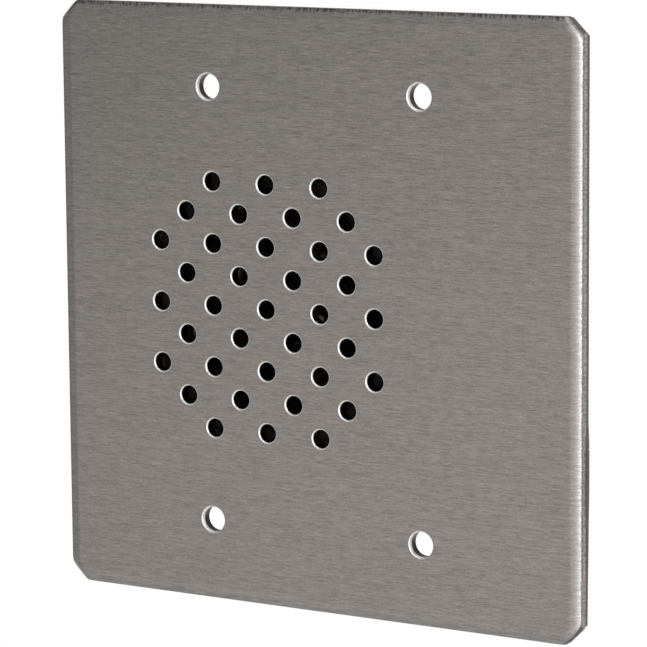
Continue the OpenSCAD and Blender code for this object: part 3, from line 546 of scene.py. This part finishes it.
for point, (radius, share) in zip(thread.data.vertices, tooth):
    point.co = (radius * mm, (thread_start + share * pitch) * mm, 0)
shape(
    thread, "SCREW", axis="Y", angle=math.tau, screw_offset=pitch * mm, iterations=turns,
    steps=20, render_steps=20, use_merge_vertices=False,
)
bpy.ops.object.mode_set(mode="EDIT")
bpy.ops.mesh.select_all(action="SELECT")
bpy.ops.mesh.remove_doubles(threshold=touching)
bpy.ops.mesh.fill_holes(sides=4)
bpy.ops.mesh.select_all(action="SELECT")
bpy.ops.mesh.normals_make_consistent(inside=False)
bpy.ops.object.mode_set(mode="OBJECT")
bpy.ops.object.transform_apply()
stud.select_set(True)
bpy.context.view_layer.objects.active = stud
bpy.ops.object.join()
smooth(stud, angle=30)
board_studs = [Vector((x * mm, 0, z * mm)) for x in (28.1, 42.2) for z in (-21.8, 30.8)]
short_stud = turned(
    "board_stud_1",
    board_studs[0],
    [
        (0, 0.02), (2.3, 0.02), (2.3, 0.5), (2.1, 0.68), (1.45, 0.7), (1.45, 4.1),
        (1.2, 4.35), (0, 4.35),
    ],
    steps=32,
)
stud_plating = plated("stud_plating", (0.68, 0.62, 0.53))
for each in row_of(stud, speaker_studs) + row_of(short_stud, board_studs):
    fit(each, stud_plating, "plated_steel", "weld_studs")


# Foam ring
# Soft open-cell foam between the plate and the loudspeaker, cut with a round opening and
# four stud holes. The flange presses it, so that its edges bulge.
ring = merged_copy("speaker_gasket", "foam_ring")
bevel(ring, width=0.45 * mm, segments=3, angle=50)
smooth(ring, angle=50)
ring_foam = foam("ring_foam", (0.008, 0.008, 0.008), (0.035, 0.034, 0.034), cells=1700.0)
fit(ring, ring_foam, "speaker_foam", "speaker_gasket")


# Loudspeaker frame, front plate and yoke
# Stamped and pressed from steel sheet with dull zinc plating. The front plate is staked to
# the frame's floor, and the yoke's pole stands in its hole.
zinc, spot, _ = finish(
    "dull_zinc", {"Metallic": 1.0}, "speaker_frame", "magnet_front_plate", "yoke"
)
bloom = spot.noise(160.0, 4.0, 0.6)
flakes = spot.node("ShaderNodeTexVoronoi", {}, {"Vector": spot, "Scale": 420.0}, 1).axes()[0]
drawn = spot.stretch((3000, 700, 3000)).noise(detail=2.0)
mottle = (0.55 * bloom + 0.1 * flakes + 0.35 * drawn).ramp(0.25, 0.75)
feed(
    zinc,
    {
        "Base Color": mottle.mix((0.43, 0.44, 0.435), (0.66, 0.67, 0.655)),
        "Roughness": 0.3 + 0.22 * bloom,
    },
    height=drawn,
    relief=0.008 * mm,
)


# Magnet
# Ring of pressed ferrite, ground on its faces and glued between the front plate and the
# yoke. It is dark grey and brittle, with pale grain and specks.
ferrite, spot, _ = finish("ground_ferrite", {}, "magnet")
grit = spot.noise(5200.0, 2.0)
ground = spot.stretch((900, 900, 6000)).noise(detail=2.0)
specks = spot.noise(2400.0, 1.0).ramp(0.66, 0.74)
paler = 0.5 * grit + 0.3 * ground + 0.5 * specks
feed(
    ferrite,
    {
        "Base Color": paler.mix((0.03, 0.03, 0.033), (0.115, 0.115, 0.12)),
        "Roughness": 0.42 + 0.25 * grit,
    },
    height=grit,
    relief=0.02 * mm,
)


# Surround and spider
# The surround is treated black cloth moulded into one roll, and the spider resin-stiffened
# cloth pressed into rings. Both are glued to the frame and to the moving parts.
def woven(name, dark, light, pitch, rough):
    """Plain weave of threads across and up, the given distance apart."""
    made, spot, _ = finish(name, {"Sheen Weight": 0.04, "Specular IOR Level": 0.3})
    across, _, up = spot.stretch((math.pi / pitch,) * 3).axes()
    over = across.math("SINE") * up.math("SINE")
    slub = spot.noise(1500.0, 3.0)
    threads = over.math("ABSOLUTE") * (0.7 + 0.6 * slub)
    feed(
        made,
        {"Base Color": threads.ramp(0.0, 0.9).mix(dark, light), "Roughness": rough + 0.15 * slub},
        height=threads,
        relief=0.05 * mm,
    )
    return made


speaker_axis = Vector((speaker_x, 0, 0))
roll_mid, roll_y, roll_r, skin, arc_steps = 25.25, 2.4, 1.25, 0.4, 14
arc = [math.pi * step / arc_steps for step in range(arc_steps + 1)]
roll_outside = [(roll_mid - roll_r * math.cos(t), roll_y - roll_r * math.sin(t)) for t in arc]
inner_r = roll_r - skin
roll_inside = [(roll_mid + inner_r * math.cos(t), roll_y - inner_r * math.sin(t)) for t in arc]
cone_lip = [(22.62, 3.78), (22.62, 3.45), (22.7, 3.4), (23.85, 3.4), (24, 3.2)]
frame_lip = [
    (26.6, 2.05), (29.2, 2.02), (29.38, 2.2), (29.38, 2.6), (29.2, 2.78), (26.3, 2.78),
    (26.12, 2.65),
]
lip_back = [(24.4, 3.6), (24.25, 3.78)]
surround_outline = cone_lip + roll_outside + frame_lip + roll_inside + lip_back
surround = turned("cloth_surround", speaker_axis, surround_outline, steps=120)
black_cloth = woven(
    "surround_weave", (0.004, 0.004, 0.004), (0.022, 0.022, 0.023), pitch=0.28 * mm, rough=0.7
)
surround.data.materials.append(black_cloth)
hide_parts("cone_surround")
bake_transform(surround)

collar_r, collar_y, dish, rim_r, cloth_t = 9.77, 12.6, 1.0, 18.38, 0.38
wave_in, wave_out, wave_h, wave_count, wave_steps = 10.55, 16.0, 0.35, 4, 40
spider_front = [(collar_r, collar_y)]
for step in range(wave_steps + 1):
    share = step / wave_steps
    wave = wave_h * math.sin(math.tau * wave_count * share)
    spider_front.append((wave_in + (wave_out - wave_in) * share, collar_y - dish * share + wave))
spider_front.append((rim_r, collar_y - dish))
spider_back = [(radius, depth + cloth_t) for radius, depth in reversed(spider_front)]
spider = turned("cloth_spider", speaker_axis, spider_front + spider_back, steps=120)
tan_cloth = woven(
    "spider_weave", (0.24, 0.125, 0.03), (0.66, 0.42, 0.15), pitch=0.36 * mm, rough=0.6
)
spider.data.materials.append(tan_cloth)
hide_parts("spider")
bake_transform(spider)


# Cone and dust cap
# Glossy black polyester film, pressed hot into a cone and a dome and glued together. Dust
# and handling leave faint cloudy patches.
film, spot, _ = finish("black_film", {"Specular IOR Level": 0.4}, "cone", "dust_cap")
haze = spot.noise(260.0, 4.0, 0.6)
dust = spot.noise(5200.0, 1.0).ramp(0.7, 0.8)
dusty = 0.4 * haze + 0.6 * dust
feed(
    film,
    {
        "Base Color": dusty.mix((0.004, 0.004, 0.0045), (0.03, 0.03, 0.031)),
        "Roughness": 0.05 + 0.12 * haze,
    },
    height=haze,
    relief=0.012 * mm,
)


# Coil former and voice coil
# The coil is one layer of enamelled copper wire, wound on a tube of brown kraft paper and
# held by varnish.
kraft, spot, _ = finish("brown_kraft", {"Roughness": 0.8}, "coil_former")
pulp = spot.stretch((900, 2600, 900)).noise(detail=4.0, rough=0.65)
kraft_brown = pulp.ramp(0.3, 0.7).mix((0.36, 0.22, 0.11), (0.58, 0.4, 0.23))
feed(kraft, {"Base Color": kraft_brown}, height=pulp, relief=0.03 * mm)
copper, spot, _ = finish(
    "enamelled_wire", {"Metallic": 1.0, "Coat Roughness": 0.15}, "voice_coil"
)
wire_d = 0.16 * mm
wires = (spot.axes()[1] * (math.pi / wire_d)).math("SINE").math("ABSOLUTE")
varnish = spot.noise(700.0, 3.0)
feed(
    copper,
    {
        "Base Color": (wires * varnish * 2.0).mix((0.3, 0.1, 0.035), (0.74, 0.34, 0.17)),
        "Roughness": 0.22 + 0.2 * varnish,
        "Coat Weight": 0.4 + 0.5 * varnish,
    },
    height=wires,
    relief=0.05 * mm,
)


# Tag board, solder tags and rivets
# A strip of brown phenolic paper sheet carries two tinned brass tags. Aluminium rivets hold
# the tags to the strip, and the strip to the frame's lug.
phenolic, spot, _ = finish("phenolic_sheet", {"Specular IOR Level": 0.45}, "tag_board")
paper_fibre = spot.stretch((700, 3500, 3500)).noise(detail=4.0, rough=0.7)
blotch = spot.noise(300.0, 3.0)
mottled = (0.6 * paper_fibre + 0.4 * blotch).ramp(0.3, 0.7)
feed(
    phenolic,
    {
        "Base Color": mottled.mix((0.16, 0.07, 0.025), (0.36, 0.19, 0.085)),
        "Roughness": 0.34 + 0.25 * blotch,
    },
    height=paper_fibre,
    relief=0.012 * mm,
)
tinned_brass = plated("tinned_brass", (0.72, 0.68, 0.58), "solder_tags")
plated("rivet_aluminium", (0.74, 0.74, 0.72), "tag_rivets")


# Nuts and lock washers
# Bright zinc-plated hexagon nuts, chamfered on both faces, on split spring washers, draw the
# loudspeaker against its foam ring.
nut_y, nut_t, hex_af, chamfer = 3.5, 2.4, 5.5, 0.42
bore_r, mouth_r, mouth_d = 1.52, 1.78, 0.3
hex_r, flat_r = hex_af / math.sqrt(3), hex_af / 2 - 0.12
over_r, nut_end = hex_r + 0.1, nut_y + nut_t
bpy.ops.object.select_all(action="DESELECT")
bpy.ops.mesh.primitive_cylinder_add(
    vertices=6, radius=hex_r * mm, depth=nut_t * mm,
    location=speaker_studs[0] + Vector((0, (nut_y + nut_t / 2) * mm, 0)),
    rotation=(math.pi / 2, 0, 0),
)
nut = bpy.context.object
nut.name = "hex_nut_1"
bpy.ops.object.transform_apply()
turning = turned(
    "nut_turning",
    speaker_studs[0],
    [
        (bore_r, nut_y + mouth_d), (mouth_r, nut_y), (flat_r, nut_y), (over_r, nut_y + chamfer),
        (over_r, nut_end - chamfer), (flat_r, nut_end), (mouth_r, nut_end),
        (bore_r, nut_end - mouth_d),
    ],
    steps=48,
)
shape(nut, "BOOLEAN", operation="INTERSECT", object=turning, solver="EXACT")
bpy.data.objects.remove(turning)
bevel(nut, width=0.05 * mm, segments=2, angle=25)
smooth(nut, angle=25)
bright_zinc = plated("bright_zinc", (0.7, 0.69, 0.665), "lock_washers")
for each in row_of(nut, speaker_studs):
    fit(each, bright_zinc, "plated_steel", "speaker_nuts")


# Standoffs
# Hexagon brass spacers, turned from bar and tapped through. They screw on to the plate's
# studs and carry the circuit board.
brass, spot, _ = finish("turned_brass", {"Metallic": 1.0}, "hex_standoffs")
tool_marks = spot.stretch((500, 9000, 500)).noise(detail=2.0)
tarnish = spot.noise(300.0, 3.0)
brightness = (0.5 * tarnish + 0.5 * tool_marks).ramp(0.3, 0.7)
feed(
    brass,
    {
        "Base Color": brightness.mix((0.46, 0.31, 0.11), (0.76, 0.57, 0.27)),
        "Roughness": 0.2 + 0.22 * tarnish,
    },
    height=tool_marks,
    relief=0.008 * mm,
)


# Circuit board and its screws
# Glass epoxy, 1.6 mm thick, with copper tracks under green lacquer on both faces. Its cut
# edges show the pale bare glass cloth. Bright zinc-plated screws hold it to the standoffs.
lacquer, spot, normal = finish("green_lacquer", {"Specular IOR Level": 0.5}, "circuit_board")
across, _, up = spot.axes()


def tracks(along, over, spacing, width, length):
    """Tracks along one way in broken lengths, spaced over the other, width as a share of that."""
    edge, edge_w, stagger, bare_share = width * 0.5, 0.04, 0.37, 0.45
    lane = over / spacing
    beside = (lane.math("FRACT") - 0.5).math("ABSOLUTE")
    block = (along / length + lane.math("FLOOR") * stagger).math("FLOOR")
    cell = along.node("ShaderNodeCombineXYZ", {}, {"X": lane.math("FLOOR"), "Y": block})
    chance = along.node("ShaderNodeTexWhiteNoise", {"noise_dimensions": "2D"}, {"Vector": cell})
    return beside.ramp(edge, edge + edge_w, 1.0, 0.0) * chance.math("GREATER_THAN", bare_share)


upright = tracks(up, across, spacing=2.54 * mm, width=0.3, length=9 * mm)
crossing = tracks(across, up, spacing=5.3 * mm, width=0.16, length=7 * mm)
copper_under = upright.math("MAXIMUM", crossing)
thread_turn = math.pi / (0.45 * mm)
cloth = (across * thread_turn).math("SINE") * (up * thread_turn).math("SINE")
glass = spot.noise(900.0, 3.0)
face_on = normal.axes()[1].math("ABSOLUTE").ramp(0.4, 0.6)
green = (0.75 * copper_under + 0.15 * glass).mix((0.012, 0.085, 0.036), (0.05, 0.24, 0.1))
cut_edge = glass.ramp(0.3, 0.7).mix((0.3, 0.33, 0.2), (0.5, 0.52, 0.36))
feed(
    lacquer,
    {
        "Base Color": face_on.mix(cut_edge, green),
        "Roughness": 0.62 - 0.38 * face_on + 0.1 * glass,
    },
    height=copper_under + 0.08 * cloth,
    relief=0.035 * mm,
)
dress(bright_zinc, "board_screws")


# Solder joints
# Every lead stands through the board and is soldered on the side that faces the plate, in a
# small bright cone that wets the lead and its pad.
board_x, board_front = 35.15, 8


def on_board(x, z):
    """Place on the board, x from its middle line and z from the plate's middle, in mm."""
    return Vector(((board_x + x) * mm, 0, z * mm))


terminal_pitch, terminal_z = 5, -30
terminal_leads = [((pole - 1.5) * terminal_pitch, terminal_z) for pole in range(4)]
trimmer_leads = [(-2.5, -23.1), (0, -18.1), (2.5, -23.1)]
can_places, can_lead = ((-5, 11), (5.4, 8.2), (5.4, 16.4)), 1.25
can_leads = [(x + side * can_lead, z) for x, z in can_places for side in (-1, 1)]
film_x, film_rows, film_lead = -5, (18.6, 23), 2.5
film_leads = [(film_x + side * film_lead, z) for z in film_rows for side in (-1, 1)]
resistor_x, resistor_rows, resistor_lead = 8.05, (-10.2, 0.4), 4.85
resistor_leads = [
    (side * resistor_x, z + end * resistor_lead)
    for side in (-1, 1) for z in resistor_rows for end in (-1, 1)
]
chip_lead, chip_z, pin_pitch = 3.81, -3.5, 2.54
chip_leads = [
    (side * chip_lead, chip_z + (pin - 1.5) * pin_pitch) for side in (-1, 1) for pin in range(4)
]
header_lead, header_z = 1.25, 30.4
header_leads = [(side * header_lead, header_z) for side in (-1, 1)]
lead_places = (
    terminal_leads + trimmer_leads + can_leads + film_leads + resistor_leads + chip_leads
    + header_leads
)
joint_spots = [on_board(x, z) for x, z in lead_places]
joint = turned(
    "solder_joint_1",
    joint_spots[0],
    [
        (0, board_front - 0.95), (0.34, board_front - 0.92), (0.42, board_front - 0.6),
        (0.6, board_front - 0.28), (0.92, board_front - 0.1), (0.98, board_front - 0.01),
        (0, board_front - 0.01),
    ],
    steps=14,
)
solder = plated("solder", (0.72, 0.71, 0.69), "component_leads")
for each in row_of(joint, joint_spots):
    fit(each, solder, "tinned_wire")


# Terminal block
# Moulded green plastic with four wire entries at its foot. Slotted zinc-plated screws draw
# the tinned brass clamps inside it together.
def moulded(name, colour, pale, rough, *nodes):
    """Moulded plastic with a fine spark-eroded grain and faint flow marks."""
    made, spot, _ = finish(name, {"Specular IOR Level": 0.45}, *nodes)
    spark = spot.noise(6500.0, 2.0)
    flow = spot.stretch((120, 400, 120)).noise(detail=3.0)
    clouded = (0.4 * spark + 0.6 * flow).ramp(0.25, 0.75)
    feed(
        made,
        {"Base Color": clouded.mix(colour, pale), "Roughness": rough + 0.14 * spark},
        height=spark,
        relief=0.012 * mm,
    )
    return made


moulded("terminal_green", (0.03, 0.2, 0.09), (0.06, 0.29, 0.145), 0.4, "terminal_block")
dress(bright_zinc, "terminal_screws")
dress(tinned_brass, "terminal_cages")


# Volume trimmer
# A blue moulded case holds the track and is soldered to the board by its three leads. The
# slotted ivory rotor turns in it with a screwdriver.
moulded("trimmer_blue", (0.025, 0.12, 0.35), (0.05, 0.19, 0.47), 0.25, "trimmer_body")
ivory = moulded("ivory_nylon", (0.62, 0.57, 0.45), (0.74, 0.7, 0.59), 0.38, "trimmer_rotor")


# Amplifier chip
# Eight-pin chip in black moulding compound with a matt eroded face. Its tinned pins are bent
# down and soldered through the board.
moulded(
    "black_compound", (0.013, 0.013, 0.014), (0.034, 0.034, 0.036), 0.5, "amplifier_chip"
)
dress(solder, "chip_pins")


# Electrolytic capacitors
# Aluminium cans in shrunk dark sleeves, which leave the scored tops bare. A pale stripe on
# the sleeve marks the negative side.
sleeve, spot, _ = finish("dark_sleeve", {"Coat Roughness": 0.1})
shrink = spot.stretch((1400, 260, 1400)).noise(detail=3.0)
feed(
    sleeve,
    {
        "Base Color": shrink.ramp(0.3, 0.7).mix((0.018, 0.024, 0.045), (0.04, 0.052, 0.088)),
        "Roughness": 0.22 + 0.16 * shrink,
    },
    height=shrink,
    relief=0.02 * mm,
)
stripe, spot, _ = finish("pale_stripe", {})
ink = spot.noise(2600.0, 3.0)
feed(
    stripe,
    {
        "Base Color": ink.ramp(0.3, 0.7).mix((0.42, 0.43, 0.44), (0.56, 0.57, 0.58)),
        "Roughness": 0.28 + 0.15 * ink,
    },
)
can_top = plated("can_aluminium", (0.78, 0.78, 0.77))
rear, score_w, score_d = 9.6, 0.22, 0.24
stripe_at, stripe_half = math.pi / 3, 0.3


def capacitor(name, x, z, d, h):
    """Can on the board at x and z, with its top towards the rear, in mm."""
    r, top = d / 2 - 0.02, rear + h
    dished = top - 0.16
    foot = on_board(x, z)
    made = turned(
        name,
        foot,
        [
            (0, rear + 0.05), (r - 0.5, rear + 0.05), (r - 0.12, rear + 0.2), (r, rear + 0.55),
            (r, rear + 1.3), (r - 0.3, rear + 1.65), (r - 0.3, rear + 1.85), (r, rear + 2.2),
            (r, top - 0.5), (r - 0.15, top - 0.15), (r - 0.5, top), (r - 0.85, top),
            (r - 0.9, top - 0.12), (r - 1.2, dished), (0, dished),
        ],
        steps=48,
    )
    for turn in (0, math.pi / 2):
        bpy.ops.mesh.primitive_cube_add(
            size=1, location=foot + Vector((0, dished * mm, 0)), rotation=(0, turn, 0),
            scale=(1.1 * r * mm, score_d * mm, score_w * mm),
        )
        score = bpy.context.object
        bpy.ops.object.transform_apply()
        shape(made, "BOOLEAN", operation="DIFFERENCE", object=score, solver="EXACT")
        bpy.data.objects.remove(score)
    smooth(made, angle=35)
    fit(made, sleeve, "can_sleeve", "electrolytic_capacitors")
    made.data.materials.append(stripe)
    made.data.materials.append(can_top)
    for face in made.data.polygons:
        out = face.center - foot
        from_axis = math.hypot(out.x, out.z)
        beside_stripe = abs(math.atan2(out.z, out.x) - stripe_at)
        if face.center.y > (top - 0.4) * mm and from_axis < (r - 0.82) * mm:
            face.material_index = 2
        elif beside_stripe < stripe_half and from_axis > (r - 0.2) * mm:
            face.material_index = 1


can_sizes = ((8, 11.5), (6.3, 8), (6.3, 8))
for number, ((x, z), (d, h)) in enumerate(zip(can_places, can_sizes), 1):
    capacitor(f"capacitor_{number}", x, z, d, h)


# Film capacitors
# Flat windings of film, dipped in red resin that runs down rounded and glossy. They stand on
# the board by their two leads.
dip, spot, _ = finish("red_dip", {"Coat Roughness": 0.08, "Coat Weight": 0.4})
runs = spot.stretch((900, 300, 900)).noise(detail=3.0)
feed(
    dip,
    {
        "Base Color": runs.ramp(0.3, 0.7).mix((0.3, 0.035, 0.018), (0.47, 0.085, 0.045)),
        "Roughness": 0.2 + 0.16 * runs,
    },
    height=runs,
    relief=0.06 * mm,
)
film_l, film_h, film_t, film_lift = 7.16, 6.46, 2.56, 0.02
film_spots = [on_board(film_x, z) for z in film_rows]
bpy.ops.object.select_all(action="DESELECT")
bpy.ops.mesh.primitive_cube_add(
    size=1, location=film_spots[0] + Vector((0, (rear + film_h / 2 + film_lift) * mm, 0)),
    scale=(film_l * mm, film_h * mm, film_t * mm),
)
dipped = bpy.context.object
dipped.name = "film_capacitor_1"
bpy.ops.object.transform_apply()
bpy.ops.object.mode_set(mode="EDIT")
bpy.ops.mesh.select_all(action="SELECT")
bpy.ops.mesh.subdivide(number_cuts=3)
bpy.ops.object.mode_set(mode="OBJECT")
bevel(dipped, width=0.8 * mm, segments=4, angle=60)
shape(dipped, "SMOOTH", factor=0.5, iterations=3)
smooth(dipped, angle=60)
for each in row_of(dipped, film_spots):
    fit(each, dip, "film_box", "film_capacitors")


# Resistors
# Carbon film on ceramic rods, under tan lacquer with four painted colour rings. Their bent
# leads carry them on the board.
tan, spot, _ = finish("tan_lacquer", {"Specular IOR Level": 0.5}, "resistors")
first_row, row_gap = resistor_rows[0] * mm, (resistor_rows[1] - resistor_rows[0]) * mm
in_row = ((spot.axes()[2] - first_row) / row_gap + 0.5).math("FRACT")
along = in_row * row_gap - 0.5 * row_gap
gloss = spot.noise(1200.0, 3.0)
colour = gloss.ramp(0.3, 0.7).mix((0.5, 0.36, 0.2), (0.66, 0.52, 0.33))
ring_half, ring_edge = 0.3 * mm, 0.36 * mm
colour_rings = (
    (-2.5, (0.35, 0.1, 0.02)),
    (-1.1, (0.02, 0.02, 0.02)),
    (0.1, (0.5, 0.06, 0.02)),
    (2.3, (0.55, 0.4, 0.1)),
)
for at, paint in colour_rings:
    painted = (along - at * mm).math("ABSOLUTE").ramp(ring_half, ring_edge, 1.0, 0.0)
    colour = painted.mix(colour, paint)
feed(
    tan,
    {"Base Color": colour, "Roughness": 0.25 + 0.2 * gloss},
    height=gloss,
    relief=0.015 * mm,
)


# Header
# Moulded ivory header with a locking wall, which takes the loudspeaker's plug. Its tinned
# pins are soldered through the board at its top end.
dress(ivory, "speaker_header")
dress(solder, "header_pins")
